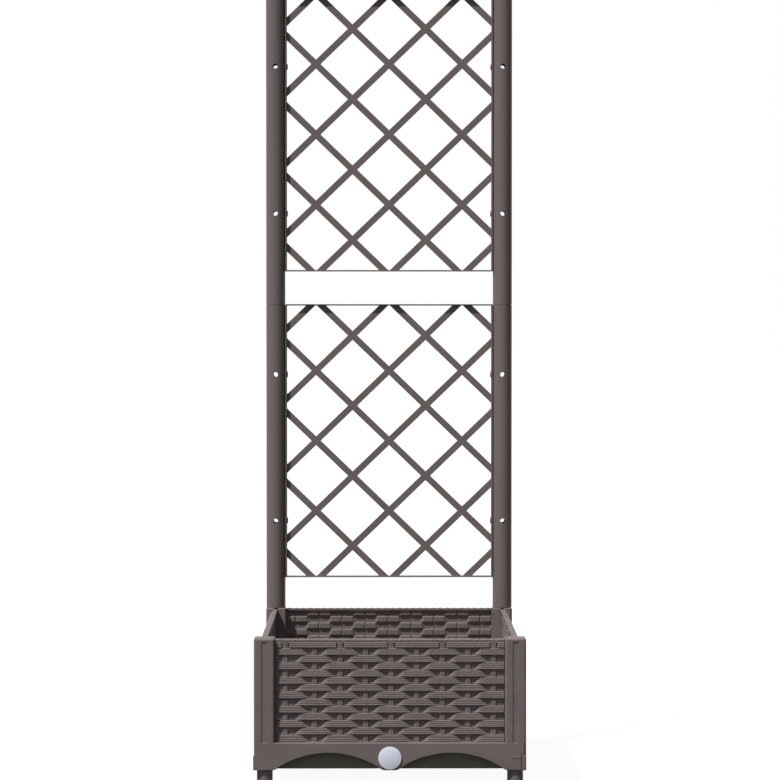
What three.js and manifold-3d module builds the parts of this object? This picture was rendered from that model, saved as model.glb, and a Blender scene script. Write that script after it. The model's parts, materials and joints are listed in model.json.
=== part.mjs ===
// Planter with a climbing trellis: a square tub of woven-look panels between four corner
// posts, a water tray behind an arched skirt, and a tube frame with two lattice panels.
// Millimetres. +X is to the right, -Y is the front, +Z is up. The origin is on the floor,
// under the middle of the tub.

import * as THREE from 'three';
import { mergeVertices } from 'three/addons/utils/BufferGeometryUtils.js';
import Module from 'manifold-3d';

const wasm = await Module();
wasm.setup();

// ------------------------------------------------------------------ driving dimensions

// Tub
const boxWidth = 400;             // over the corner posts, in X and in Y
const footHeight = 38;            // floor to the underside of the skirt
const skirtHeight = 41.7;
const panelHeight = 150;
const seatGap = 0.3;              // between two pieces that rest on each other
const slideGap = 0.5;             // around a piece that is slid or dropped into place

// Corner posts and feet
const postWidth = 28.6;
const cornerRadius = 3.5;
const topBevel = 2.5;
const channelWidth = 7.8;         // shallow channel down the middle of each outer face
const channelDepth = 1.1;
const channelTopMargin = 3.4;
const footDiameter = 24.2;
const footChamfer = 1;
const pinDiameter = 13.4;         // of the spigots that enter the post bores
const footPinLength = 25;

// Side panels
const weaveInset = 7.2;           // post face to the most forward point of the weave
const weaveRelief = 6.5;
const sheetThickness = 5;
const tongueWidth = 4;            // part of the sheet that sits in the post's groove
const rimHeight = 2;
const rimInset = 9.4;             // post face to the rim's outer edge
const rowCount = 14;
const weavePitch = 75.2;          // from one over-segment to the next in a row
const weaveShift = 1.9;           // of the weave's pattern to the right of the panel's middle
const weaveEndGap = 3;            // between the weave's end and the post
const bandFootWidth = 60;         // of an over-segment, where it leaves the sheet
const bandFaceWidth = 48;         // of its front face, along the lower edge
const bandTopNarrowing = 14;      // how much shorter its upper edge is
const rimBandExtra = 9;           // how much longer the segments of the rim row are
const bandTilt = 2.6;             // how much further the lower edge stands out
const bandGap = 0.5;              // shadow line between two rows

// Skirt
const skirtWall = 3;
const archRadius = 138;
const archRise = 25.3;            // skirt underside to the top of an arch
const archCentre = 90.3;          // from the middle of the side
const archFootRadius = 10;
const lugHeight = 22;
const lugReach = 6.3;             // how far a lug wraps on to the next side
const lugRelief = 1.1;
const lipLength = 14;
const lipHeight = 2;
const lipRelief = 0.6;
const ledgeReach = 8;
const ledgeThickness = 3;

// Water tray, floor plate and drain
const trayInset = 14;             // post face to the outside of the tray
const trayWall = 3;
const trayCornerGap = 1.3;        // between the tray's cut-out corners and the post shanks
const trayFlangeThickness = 3.2;
const plateThickness = 3;
const plateLegDiameter = 26;
const plateLegTaper = 8;          // how much thinner a leg is at its foot
const plateHoleDiameter = 11;
const plateHolePitch = 62;
const plateLegPitches = 2;        // from the plate's middle to a leg, in hole pitches
const drainHeight = 56.1;
const drainCapDiameter = 34;
const drainCapThickness = 3;
const drainCapBevel = 1;
const drainNeckDiameter = 19;
const drainStemDiameter = 13.8;
const drainStemOvershoot = 2;     // past the inside of the tray's wall
const drainBossDiameter = 24;
const drainBossLength = 7.5;
const sealThickness = 1.5;

// Trellis
const tubeDiameter = 31;
const tubeWall = 2;
const latticeAboveRim = 49.6;     // from the rim to the lower lattice panel
const latticeSpacing = 54.9;      // between the two lattice panels
const plugLength = 45;            // of a plug, each way from the tube's end
const plugWall = 2.2;
const joinerLength = 60;
const tieHoleDiameter = 8;        // through the tube from front to back
const latticeHeight = 445.1;
const latticeDepth = 14;
const frameWall = 1.8;            // of the upright sides of a lattice frame
const barWall = 1.6;              // of its top and bottom bars
const stripWidth = 10.4;
const stripThickness = 3;
const cellWidth = 118.9;
const cellHeight = 114.4;
const rivetHeadDiameter = 11;
const rivetHeadHeight = 1.9;
const rivetShankDiameter = 6;
const rivetLength = 8;
// How far below the middle of its gap between two strips a rivet sits, in half gaps.
const lowerRivetDrop = 0.32;
const upperRivetDrop = 0.115;

// Facets
const tubeSides = 14;
const capSides = 16;
const legSides = 8;
const holeSides = 8;
const archSteps = 12;

// ------------------------------------------------------------------ worked-out sizes

const half = boxWidth / 2;
const skirtTop = footHeight + skirtHeight;
const panelBottom = skirtTop + seatGap;
const rimTop = panelBottom + panelHeight;
const postInner = half - postWidth;
const tubeRadius = tubeDiameter / 2;
const tubeBore = tubeRadius - tubeWall;
const postAxis = half - tubeRadius;
const skirtInner = half - skirtWall;
const shankOuter = skirtInner - slideGap;
const shankInner = 2 * postAxis - shankOuter;
const pinRadius = pinDiameter / 2;
const postBore = pinRadius + seatGap;
const sheetOuter = half - weaveInset - weaveRelief;
const sheetInner = sheetOuter - sheetThickness;
const weaveHalf = postInner - weaveEndGap;
const rimOuter = half - rimInset;
const trayOuter = half - trayInset;
const trayNotch = shankInner - trayCornerGap;
const trayFloorTop = footHeight + trayWall;
const ledgeTop = skirtTop - trayFlangeThickness - seatGap;
const lowerSeam = rimTop + latticeAboveRim + latticeHeight + seatGap;
const upperTubeBottom = lowerSeam + seatGap;
const upperSeam = lowerSeam + latticeSpacing + latticeHeight;
const archBottom = upperSeam + seatGap;
const latticeHalf = postAxis - tubeRadius - seatGap;

// ------------------------------------------------------------------ materials

function plastic(colour, roughness) {
  return new THREE.MeshStandardMaterial({ color: colour, roughness, metalness: 0 });
}

const bodyPlastic = plastic('#6c6261', 0.55);
const tubePlastic = plastic('#6e6866', 0.5);
const latticePlastic = plastic('#625c59', 0.6);
const trayPlastic = plastic('#34332f', 0.65);
const capPlastic = plastic('#bfc1cd', 0.45);
const sealRubber = plastic('#1f1f1f', 0.85);

// ------------------------------------------------------------------ solids

// A closed solid from a geometry whose faces may point either way.
function solid(geometry) {
  const bare = geometry.clone();
  bare.deleteAttribute('normal');
  bare.deleteAttribute('uv');
  const merged = mergeVertices(bare, 1e-4);
  const points = merged.attributes.position.array;
  const corners = merged.index.array;
  const kept = [];
  let volume = 0;
  const a = new THREE.Vector3();
  const b = new THREE.Vector3();
  const c = new THREE.Vector3();
  for (let i = 0; i < corners.length; i += 3) {
    const [p, q, r] = [corners[i], corners[i + 1], corners[i + 2]];
    if (p === q || q === r || r === p) continue;
    a.fromArray(points, 3 * p);
    b.fromArray(points, 3 * q);
    c.fromArray(points, 3 * r);
    volume += a.dot(b.cross(c));
    kept.push(p, q, r);
  }
  if (volume < 0) kept.reverse();
  return new wasm.Manifold(new wasm.Mesh({
    numProp: 3,
    vertProperties: new Float32Array(points),
    triVerts: new Uint32Array(kept),
  }));
}

function join(solids) {
  return solids.reduce((whole, piece) => whole.add(piece));
}

function block([x0, x1], [y0, y1], [z0, z1]) {
  const geometry = new THREE.BoxGeometry(x1 - x0, y1 - y0, z1 - z0);
  geometry.translate((x0 + x1) / 2, (y0 + y1) / 2, (z0 + z1) / 2);
  return solid(geometry);
}

// A profile of [radius, height] pairs turned about a vertical axis.
function turned(profile, sides, [x, y] = [0, 0]) {
  const points = profile.map(([radius, height]) => new THREE.Vector2(radius, height));
  const geometry = new THREE.LatheGeometry(points, sides);
  geometry.rotateX(Math.PI / 2);
  geometry.translate(x, y, 0);
  return solid(geometry);
}

function rod(radius, [z0, z1], sides, at) {
  return turned([[0, z0], [radius, z0], [radius, z1], [0, z1]], sides, at);
}

function ring(outer, inner, [z0, z1], sides, at) {
  const profile = [[inner, z0], [outer, z0], [outer, z1], [inner, z1], [inner, z0]];
  return turned(profile, sides, at);
}

// Lays a solid made about the vertical axis along Y or X, with its height 0 at a point.
function alongY(piece, [x, y, z]) {
  return piece.rotate([90, 0, 0]).translate([x, y, z]);
}

function alongX(piece, [x, y, z]) {
  return piece.rotate([0, 90, 0]).translate([x, y, z]);
}

// An outline in X and Y raised from z0 to z1.
function raised(outline, [z0, z1], bevel = 0, curveSegments = 3) {
  const geometry = new THREE.ExtrudeGeometry(outline, {
    depth: z1 - z0 - bevel,
    bevelEnabled: bevel > 0,
    bevelThickness: bevel,
    bevelSize: bevel,
    bevelOffset: -bevel,
    bevelSegments: 1,
    curveSegments,
  });
  geometry.translate(0, 0, z0);
  return solid(geometry);
}

// An outline in X and Z, carried through from y0 to y1.
function carried(outline, [y0, y1], curveSegments) {
  const geometry = new THREE.ExtrudeGeometry(outline, {
    depth: y1 - y0,
    bevelEnabled: false,
    curveSegments,
  });
  geometry.rotateX(Math.PI / 2);
  geometry.translate(0, y1, 0);
  return solid(geometry);
}

function roundedSquare(reach, radius) {
  const shape = new THREE.Shape();
  const centre = reach - radius;
  shape.absarc(centre, centre, radius, 0, Math.PI / 2);
  shape.absarc(-centre, centre, radius, Math.PI / 2, Math.PI);
  shape.absarc(-centre, -centre, radius, Math.PI, 1.5 * Math.PI);
  shape.absarc(centre, -centre, radius, 1.5 * Math.PI, 2 * Math.PI);
  return shape;
}

// A square with its four corners cut out, so that it passes between the corner posts.
function notchedSquare(reach, notch) {
  const quarter = [[reach, -notch], [reach, notch], [notch, notch]];
  const points = [];
  for (let turn = 0; turn < 4; turn += 1) {
    const angle = (turn * Math.PI) / 2;
    for (const [x, y] of quarter) {
      points.push(new THREE.Vector2(x, y).rotateAround(new THREE.Vector2(), angle));
    }
  }
  return new THREE.Shape(points);
}

// ------------------------------------------------------------------ assembly

const planter = new THREE.Group();

function addPart(parent, name, piece, material) {
  const { vertProperties, triVerts } = piece.getMesh();
  const geometry = new THREE.BufferGeometry();
  geometry.setAttribute('position', new THREE.BufferAttribute(vertProperties, 3));
  geometry.setIndex(new THREE.BufferAttribute(triVerts, 1));
  geometry.computeVertexNormals();
  const mesh = new THREE.Mesh(geometry, material);
  mesh.name = name;
  parent.add(mesh);
}

// The four sides, and the four corners at the left end of each side, follow each other
// round the tub in quarter turns.
const sideNames = ['front', 'right', 'back', 'left'];
const cornerNames = ['front_left', 'front_right', 'rear_right', 'rear_left'];
const quarters = sideNames.map((_, turn) => {
  const group = new THREE.Group();
  group.rotation.z = (turn * Math.PI) / 2;
  planter.add(group);
  return group;
});

// ------------------------------------------------------------------ corner posts and feet

// The rounded outside of the tub, which trims the posts and the skirt.
const tubEnvelope = raised(roundedSquare(half, cornerRadius), [0, rimTop], topBevel);

// The groove in a post's inner side that holds the edge of the panel on the front.
function panelGroove() {
  return block(
    [-postInner - tongueWidth - seatGap, -postInner + slideGap],
    [-sheetOuter - seatGap, -sheetInner + seatGap],
    [skirtTop, rimTop + slideGap],
  );
}

function faceChannel() {
  const middle = half - postWidth / 2;
  return block(
    [-middle - channelWidth / 2, -middle + channelWidth / 2],
    [-half - slideGap, -half + channelDepth],
    [panelBottom, rimTop - channelTopMargin],
  );
}

// What is cut on the front face of the front left corner, as cut on its left face too.
function onLeftFace(piece) {
  return piece.mirror([1, -1, 0]);
}

function cornerPost(takesTube) {
  const upper = block([-half, -postInner], [-half, -postInner], [panelBottom, rimTop]);
  const shank = block(
    [-shankOuter, -shankInner],
    [-shankOuter, -shankInner],
    [footHeight, panelBottom + slideGap],
  );
  const corner = [-postAxis, -postAxis];
  const footBore = rod(
    postBore,
    [footHeight - slideGap, footHeight + footPinLength + slideGap],
    tubeSides,
    corner,
  );
  let post = upper.add(shank).intersect(tubEnvelope).subtract(footBore);
  for (const cut of [panelGroove(), faceChannel()]) {
    post = post.subtract(cut).subtract(onLeftFace(cut));
  }
  if (!takesTube) return post;
  const tubeBoreDepth = plugLength + slideGap;
  const bore = rod(postBore, [rimTop - tubeBoreDepth, rimTop + slideGap], tubeSides, corner);
  return post.subtract(bore);
}

function foot() {
  const radius = footDiameter / 2;
  const top = footHeight - seatGap;
  const profile = [
    [0, 0],
    [radius - footChamfer, 0],
    [radius, footChamfer],
    [radius, top],
    [pinRadius, top],
    [pinRadius, top + footPinLength],
    [0, top + footPinLength],
  ];
  return turned(profile, tubeSides, [-postAxis, -postAxis]);
}

cornerNames.forEach((corner, turn) => {
  const takesTube = corner.startsWith('rear');
  addPart(quarters[turn], `corner_post_${corner}`, cornerPost(takesTube), bodyPlastic);
  addPart(quarters[turn], `foot_${corner}`, foot(), bodyPlastic);
});

// ------------------------------------------------------------------ side panels

// One length of the woven band where it passes over a stake: a block whose front face is
// shorter than its foot, shorter above than below, and leans out towards its lower edge.
function overSegment(centre, [z0, z1], extra) {
  const geometry = new THREE.BoxGeometry(1, 1, 1);
  const corners = geometry.attributes.position;
  const shoulder = (bandFootWidth - bandFaceWidth) / weaveRelief;
  for (let i = 0; i < corners.count; i += 1) {
    const atTop = corners.getZ(i) > 0;
    const relief = weaveRelief - (atTop ? bandTilt : 0);
    const proud = corners.getY(i) < 0 ? relief : -slideGap;
    const width = bandFootWidth + extra - shoulder * proud - (atTop ? bandTopNarrowing : 0);
    corners.setXYZ(
      i,
      centre + Math.sign(corners.getX(i)) * (width / 2),
      -sheetOuter - proud,
      atTop ? z1 : z0,
    );
  }
  return solid(geometry);
}

// Places along a side that lie a whole number of pitches from a first one.
function placesAlong(first, pitch, reach) {
  const places = [];
  for (let k = -Math.ceil(reach / pitch) - 1; first + k * pitch < reach; k += 1) {
    if (first + k * pitch > -reach) places.push(first + k * pitch);
  }
  return places;
}

function sidePanel() {
  const weaveTop = rimTop - rimHeight;
  const rowHeight = (weaveTop - panelBottom) / rowCount;
  const pieces = [];
  for (let row = 0; row < rowCount; row += 1) {
    const isRimRow = row === 0;
    const first = weaveShift + (row % 2 === 0 ? weavePitch / 2 : 0);
    const rowTop = weaveTop - row * rowHeight;
    // The rim row grows up into the rim; the others stop at the row above.
    const heights = [rowTop - rowHeight + bandGap, isRimRow ? rowTop + bandGap : rowTop];
    for (const centre of placesAlong(first, weavePitch, weaveHalf + bandFootWidth / 2)) {
      pieces.push(overSegment(centre, heights, isRimRow ? rimBandExtra : 0));
    }
  }
  const weaveSpace = block(
    [-weaveHalf, weaveHalf],
    [-half, -sheetInner],
    [panelBottom, rimTop],
  );
  const sheetHalf = postInner + tongueWidth;
  const sheet = block(
    [-sheetHalf, sheetHalf],
    [-sheetOuter, -sheetInner],
    [panelBottom, rimTop - seatGap],
  );
  const rim = block([-weaveHalf, weaveHalf], [-rimOuter, -sheetInner], [weaveTop, rimTop]);
  return join(pieces).intersect(weaveSpace).add(sheet).add(rim);
}

sideNames.forEach((side, turn) => {
  addPart(quarters[turn], `side_panel_${side}`, sidePanel(), bodyPlastic);
});

// ------------------------------------------------------------------ skirt

// The space under one arch: a flat circular arc that runs out into the skirt's underside
// through a small round at each foot.
function archCut(centre) {
  const arcCentre = footHeight + archRise - archRadius;
  const footCentre = footHeight + archFootRadius;
  const reach = Math.sqrt((archRadius + archFootRadius) ** 2 - (footCentre - arcCentre) ** 2);
  const slope = Math.atan2(footCentre - arcCentre, reach);
  const below = footHeight - slideGap;
  const shape = new THREE.Shape();
  shape.moveTo(centre + reach, below);
  shape.lineTo(centre + reach, footHeight);
  shape.absarc(centre + reach, footCentre, archFootRadius, -Math.PI / 2, slope - Math.PI, true);
  shape.absarc(centre, arcCentre, archRadius, slope, Math.PI - slope);
  shape.absarc(centre - reach, footCentre, archFootRadius, -slope, -Math.PI / 2, true);
  shape.lineTo(centre - reach, below);
  return carried(shape, [-half - lugRelief - slideGap, -skirtInner + slideGap], 6);
}

function skirt(hasDrain) {
  const lugTop = footHeight + lugHeight;
  const wall = [-half, -skirtInner];
  const upper = block([-half, skirtInner - seatGap], wall, [lugTop + seatGap, skirtTop]);
  const lower = block([-half, half - lugReach - seatGap], wall, [footHeight, skirtTop]);
  const lug = block(
    [-half - lugRelief, -skirtInner],
    [-half, -half + lugReach],
    [footHeight, lugTop],
  );
  const lugEnvelope = raised(
    roundedSquare(half + lugRelief, cornerRadius),
    [0, lugTop],
    lugRelief,
  );
  const ledge = block(
    [-trayNotch + slideGap, trayNotch - slideGap],
    [-skirtInner - slideGap, -skirtInner + ledgeReach],
    [ledgeTop - ledgeThickness, ledgeTop],
  );
  const lipEnd = half - lugReach - 2 * slideGap;
  const lip = block(
    [lipEnd - lipLength, lipEnd],
    [-half - lipRelief, -skirtInner],
    [lugTop - 2 * lipHeight, lugTop - lipHeight],
  );
  const plate = upper.add(lower).intersect(tubEnvelope);
  let piece = join([plate, lug.intersect(lugEnvelope), ledge, lip]);
  for (const centre of [-archCentre, archCentre]) {
    piece = piece.subtract(archCut(centre));
  }
  if (!hasDrain) return piece;
  const hole = rod(drainNeckDiameter / 2 + slideGap, [-skirtWall, skirtWall], tubeSides);
  return piece.subtract(alongY(hole, [0, -half + skirtWall / 2, drainHeight]));
}

sideNames.forEach((side, turn) => {
  addPart(quarters[turn], `skirt_${side}`, skirt(side === 'front'), bodyPlastic);
});

// ------------------------------------------------------------------ water tray and floor plate

const drainNeckEnd = -trayOuter - drainBossLength - sealThickness - 2 * seatGap;

function reservoirTray() {
  const outside = raised(notchedSquare(trayOuter, trayNotch), [footHeight, skirtTop]);
  const flange = raised(
    notchedSquare(shankOuter, trayNotch - trayWall),
    [skirtTop - trayFlangeThickness, skirtTop],
  );
  const inside = raised(
    notchedSquare(trayOuter - trayWall, trayNotch - trayWall),
    [trayFloorTop, skirtTop + slideGap],
  );
  const bossSpan = [0, drainBossLength + trayWall / 2];
  const boss = rod(drainBossDiameter / 2, bossSpan, tubeSides);
  const bore = rod(drainStemDiameter / 2 + slideGap, [-trayWall, 2 * drainBossLength], tubeSides);
  const wallMiddle = [0, -trayOuter + trayWall / 2, drainHeight];
  return outside
    .add(flange)
    .add(alongY(boss, wallMiddle))
    .subtract(inside)
    .subtract(alongY(bore, wallMiddle));
}

function floorPlate() {
  const outline = notchedSquare(sheetInner - 2 * slideGap, postAxis - tubeRadius - slideGap);
  const holePlaces = placesAlong(plateHolePitch / 2, plateHolePitch, postInner - plateHolePitch / 2);
  for (const x of holePlaces) {
    for (const y of holePlaces) {
      const hole = new THREE.Path();
      hole.absellipse(x, y, plateHoleDiameter / 2, plateHoleDiameter / 2, 0, 2 * Math.PI, true);
      outline.holes.push(hole);
    }
  }
  const plate = raised(outline, [panelBottom, panelBottom + plateThickness], 0, 3);
  const legRadius = plateLegDiameter / 2;
  const legProfile = [
    [0, trayFloorTop + seatGap],
    [legRadius - plateLegTaper / 2, trayFloorTop + seatGap],
    [legRadius, panelBottom + plateThickness / 2],
    [0, panelBottom + plateThickness / 2],
  ];
  const legOffset = plateLegPitches * plateHolePitch;
  const legs = [-legOffset, legOffset].flatMap((x) => (
    [-legOffset, legOffset].map((y) => turned(legProfile, legSides, [x, y]))
  ));
  return plate.add(join(legs));
}

addPart(planter, 'reservoir_tray', reservoirTray(), trayPlastic);
addPart(planter, 'floor_plate', floorPlate(), trayPlastic);

// ------------------------------------------------------------------ drain plug

// Both pieces are turned about an axis whose height 0 is the skirt's front face.
function drainPlug() {
  const capRadius = drainCapDiameter / 2;
  const neckRadius = drainNeckDiameter / 2;
  const stemRadius = drainStemDiameter / 2;
  const neckEnd = -(half + drainNeckEnd);
  const stemEnd = -(half - trayOuter + trayWall + drainStemOvershoot);
  const capBack = seatGap;
  const capFront = capBack + drainCapThickness;
  const profile = [
    [0, stemEnd],
    [stemRadius, stemEnd],
    [stemRadius, neckEnd],
    [neckRadius, neckEnd],
    [neckRadius, capBack],
    [capRadius, capBack],
    [capRadius, capFront - drainCapBevel],
    [capRadius - drainCapBevel, capFront],
    [0, capFront],
  ];
  return alongY(turned(profile, capSides), [0, -half, drainHeight]);
}

function drainSeal() {
  const outer = drainNeckDiameter / 2;
  const inner = drainStemDiameter / 2 + seatGap;
  const washer = ring(outer, inner, [0, sealThickness], tubeSides);
  return alongY(washer, [0, drainNeckEnd + seatGap + sealThickness, drainHeight]);
}

addPart(planter, 'drain_plug', drainPlug(), capPlastic);
addPart(planter, 'drain_seal', drainSeal(), sealRubber);

// ------------------------------------------------------------------ trellis tubes

const trellisSides = [['left', -1], ['right', 1]];

function latticeMiddle(seam) {
  return seam - seatGap - latticeHeight / 2;
}

// The ends of the strips divide each side of a lattice frame into gaps. The rivets sit in
// the gaps one cell below and one cell above the panel's middle.
function rivetHeights(seam) {
  const middle = latticeMiddle(seam);
  const stripEnd = ((latticeHalf - frameWall) * cellHeight) / cellWidth;
  const halfGap = Math.abs(stripEnd - cellHeight * Math.round(stripEnd / cellHeight));
  return [
    middle - cellHeight - lowerRivetDrop * halfGap,
    middle + cellHeight - upperRivetDrop * halfGap,
  ];
}

// A length of tube, drilled from front to back at each rivet, and from its inner side.
function trellisTube(x, [z0, z1], seam) {
  const at = [x, postAxis];
  let tube = ring(tubeRadius, tubeBore, [z0, z1], tubeSides, at);
  const through = [-tubeRadius - slideGap, tubeRadius + slideGap];
  const tieHole = rod(tieHoleDiameter / 2, through, holeSides);
  const inward = x > 0 ? [-tubeRadius - slideGap, 0] : [0, tubeRadius + slideGap];
  const rivetHole = rod(rivetShankDiameter / 2 + seatGap, inward, holeSides);
  for (const height of rivetHeights(seam)) {
    tube = tube.subtract(alongY(tieHole, [x, postAxis, height]));
    tube = tube.subtract(alongX(rivetHole, [x, postAxis, height]));
  }
  return tube;
}

// A stepped plug: its thin end drops into the rear post, its hollow head fills the tube.
function postPlug(x) {
  const headRadius = tubeBore - seatGap;
  const headBottom = rimTop + seatGap;
  const headTop = headBottom + plugLength;
  const profile = [
    [0, rimTop - plugLength],
    [pinRadius, rimTop - plugLength],
    [pinRadius, headBottom],
    [headRadius, headBottom],
    [headRadius, headTop],
    [headRadius - plugWall, headTop],
    [headRadius - plugWall, headBottom + 2 * plugWall],
    [0, headBottom + 2 * plugWall],
  ];
  return turned(profile, tubeSides, [x, postAxis]);
}

function tubeJoiner(x) {
  const outer = tubeBore - seatGap;
  const heights = [lowerSeam - joinerLength / 2, lowerSeam + joinerLength / 2];
  return ring(outer, outer - plugWall, heights, tubeSides, [x, postAxis]);
}

for (const [side, sign] of trellisSides) {
  const x = sign * postAxis;
  const lower = trellisTube(x, [rimTop + seatGap, lowerSeam], lowerSeam);
  const upper = trellisTube(x, [upperTubeBottom, upperSeam], upperSeam);
  addPart(planter, `trellis_tube_lower_${side}`, lower, tubePlastic);
  addPart(planter, `trellis_tube_upper_${side}`, upper, tubePlastic);
  addPart(planter, `post_plug_${side}`, postPlug(x), tubePlastic);
  addPart(planter, `tube_joiner_${side}`, tubeJoiner(x), tubePlastic);
}

// ------------------------------------------------------------------ trellis arch

// The arch's centre line from left to right, run on past both ends by an angle.
class HalfCircle extends THREE.Curve {
  constructor(overrun) {
    super();
    this.overrun = overrun;
  }

  getPoint(t, target = new THREE.Vector3()) {
    const angle = Math.PI / 2 + (0.5 - t) * (Math.PI + 2 * this.overrun);
    return target.set(
      postAxis * Math.cos(angle),
      postAxis,
      archBottom + postAxis * Math.sin(angle),
    );
  }
}

function bentRod(radius, overrun) {
  const outline = new THREE.Shape();
  const sides = [];
  for (let side = 0; side < tubeSides; side += 1) {
    const angle = (2 * Math.PI * side) / tubeSides;
    sides.push(new THREE.Vector2(radius * Math.cos(angle), radius * Math.sin(angle)));
  }
  outline.setFromPoints(sides);
  const path = new HalfCircle(overrun);
  return solid(new THREE.ExtrudeGeometry(outline, { steps: archSteps, extrudePath: path }));
}

// The arch carries a reduced spigot on each end, which drops into the tube below it.
function trellisArch() {
  const spigotOuter = tubeBore - seatGap;
  const spigotInner = spigotOuter - plugWall;
  const collarOuter = tubeRadius - tubeWall / 2;
  const profile = [
    [spigotInner, archBottom - plugLength],
    [spigotOuter, archBottom - plugLength],
    [spigotOuter, archBottom],
    [collarOuter, archBottom],
    [collarOuter, archBottom + plugWall],
    [spigotInner, archBottom + plugWall],
    [spigotInner, archBottom - plugLength],
  ];
  const ends = trellisSides.map(([, sign]) => turned(profile, tubeSides, [sign * postAxis, postAxis]));
  const wall = bentRod(tubeRadius, 0).subtract(bentRod(tubeBore, slideGap / tubeRadius));
  return wall.add(join(ends));
}

addPart(planter, 'trellis_arch', trellisArch(), tubePlastic);

// ------------------------------------------------------------------ lattice panels

function latticePanel(seam) {
  const middle = latticeMiddle(seam);
  const halfHeight = latticeHeight / 2;
  const span = [middle - halfHeight, middle + halfHeight];
  const depth = [postAxis - latticeDepth / 2, postAxis + latticeDepth / 2];
  const openHalf = latticeHalf - frameWall;
  const openSpan = [span[0] + barWall, span[1] - barWall];
  const frame = block([-latticeHalf, latticeHalf], depth, span)
    .subtract(block([-openHalf, openHalf], [0, boxWidth], openSpan));
  const slope = Math.atan2(cellHeight, cellWidth);
  const length = 2 * (halfHeight + latticeHalf);
  const strip = new THREE.BoxGeometry(length, stripThickness, stripWidth);
  const reach = halfHeight + (latticeHalf * cellHeight) / cellWidth;
  const strips = [];
  for (const rise of placesAlong(0, cellHeight, reach)) {
    for (const lean of [-slope, slope]) {
      const turnedStrip = strip.clone().rotateY(lean);
      turnedStrip.translate(0, postAxis, middle + rise);
      strips.push(solid(turnedStrip));
    }
  }
  const inFrame = block(
    [-openHalf - frameWall / 2, openHalf + frameWall / 2],
    depth,
    [openSpan[0] - barWall / 2, openSpan[1] + barWall / 2],
  );
  let panel = join(strips).intersect(inFrame).add(frame);
  const drill = [-boxWidth, boxWidth];
  const hole = rod(rivetShankDiameter / 2 + seatGap, drill, holeSides);
  for (const height of rivetHeights(seam)) {
    const throughSides = alongX(hole, [0, postAxis, height])
      .subtract(block([-openHalf, openHalf], [0, boxWidth], span));
    panel = panel.subtract(throughSides);
  }
  return panel;
}

// A push-in rivet through the frame's side and the tube's wall.
function latticeRivet(sign, height) {
  const headRadius = rivetHeadDiameter / 2;
  const shankRadius = rivetShankDiameter / 2;
  const profile = [
    [0, -rivetHeadHeight],
    [headRadius - rivetHeadHeight / 2, -rivetHeadHeight],
    [headRadius, 0],
    [shankRadius, 0],
    [shankRadius, rivetLength],
    [0, rivetLength],
  ];
  const seat = latticeHalf - frameWall - seatGap;
  const rivet = turned(profile, holeSides);
  const facing = sign > 0 ? rivet : rivet.mirror([0, 0, 1]);
  return alongX(facing, [sign * seat, postAxis, height]);
}

for (const [level, seam] of [['lower', lowerSeam], ['upper', upperSeam]]) {
  addPart(planter, `lattice_panel_${level}`, latticePanel(seam), latticePlastic);
  rivetHeights(seam).forEach((height, index) => {
    for (const [side, sign] of trellisSides) {
      const name = `lattice_rivet_${level}_${side}_${index + 1}`;
      addPart(planter, name, latticeRivet(sign, height), tubePlastic);
    }
  });
}

export default planter;
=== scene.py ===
"""Looks of the planter with trellis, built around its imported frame.

Metres. +X is to the right, -Y is the front, +Z is up, and the floor is at z = 0.
Sizes are written in millimetres and turned into metres by mm().
"""

import json
import math

import bmesh
import bpy
from mathutils import Matrix, Vector
from mathutils.geometry import tessellate_polygon

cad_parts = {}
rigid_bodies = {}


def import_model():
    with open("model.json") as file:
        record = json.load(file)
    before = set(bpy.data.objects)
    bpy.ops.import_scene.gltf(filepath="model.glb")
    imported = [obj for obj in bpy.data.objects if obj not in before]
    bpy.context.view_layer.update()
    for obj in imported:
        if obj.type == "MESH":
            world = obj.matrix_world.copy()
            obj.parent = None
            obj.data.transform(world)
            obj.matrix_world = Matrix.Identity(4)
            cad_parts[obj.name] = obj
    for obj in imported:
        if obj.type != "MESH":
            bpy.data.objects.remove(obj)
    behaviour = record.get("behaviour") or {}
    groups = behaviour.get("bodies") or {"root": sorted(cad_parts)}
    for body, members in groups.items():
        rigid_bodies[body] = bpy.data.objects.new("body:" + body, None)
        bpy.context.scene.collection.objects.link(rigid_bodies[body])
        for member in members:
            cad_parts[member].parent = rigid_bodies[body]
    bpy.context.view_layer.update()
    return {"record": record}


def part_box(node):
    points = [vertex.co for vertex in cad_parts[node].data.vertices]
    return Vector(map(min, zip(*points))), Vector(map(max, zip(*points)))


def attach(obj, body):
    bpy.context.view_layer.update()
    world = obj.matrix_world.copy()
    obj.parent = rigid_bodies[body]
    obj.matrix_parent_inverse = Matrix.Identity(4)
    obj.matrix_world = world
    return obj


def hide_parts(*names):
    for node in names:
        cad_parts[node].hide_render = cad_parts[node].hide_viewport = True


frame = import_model()

SLOTS = {row["node"]: row["material_slot"] for row in frame["record"]["subparts"]}
NODE_BODIES = {
    node: body
    for body, nodes in frame["record"]["behaviour"]["bodies"].items()
    for node in nodes
}
SIDES = ("front", "right", "back", "left")
CORNERS = ("front_left", "front_right", "rear_right", "rear_left")
HERE = Matrix.Identity(4)


def mm(*lengths):
    """Millimetres as metres: one number, or a tuple of them."""
    metres = tuple(length / 1000 for length in lengths)
    return metres[0] if len(metres) == 1 else metres


# ------------------------------------------------------------------ sizes

# From the frame
POST_LOW, POST_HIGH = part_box("corner_post_front_left")
PANEL_LOW, PANEL_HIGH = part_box("side_panel_front")
FOOT_LOW, FOOT_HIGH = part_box("foot_front_left")
TRAY_LOW, TRAY_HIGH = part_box("reservoir_tray")
PLATE_LOW, PLATE_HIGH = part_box("floor_plate")

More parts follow.
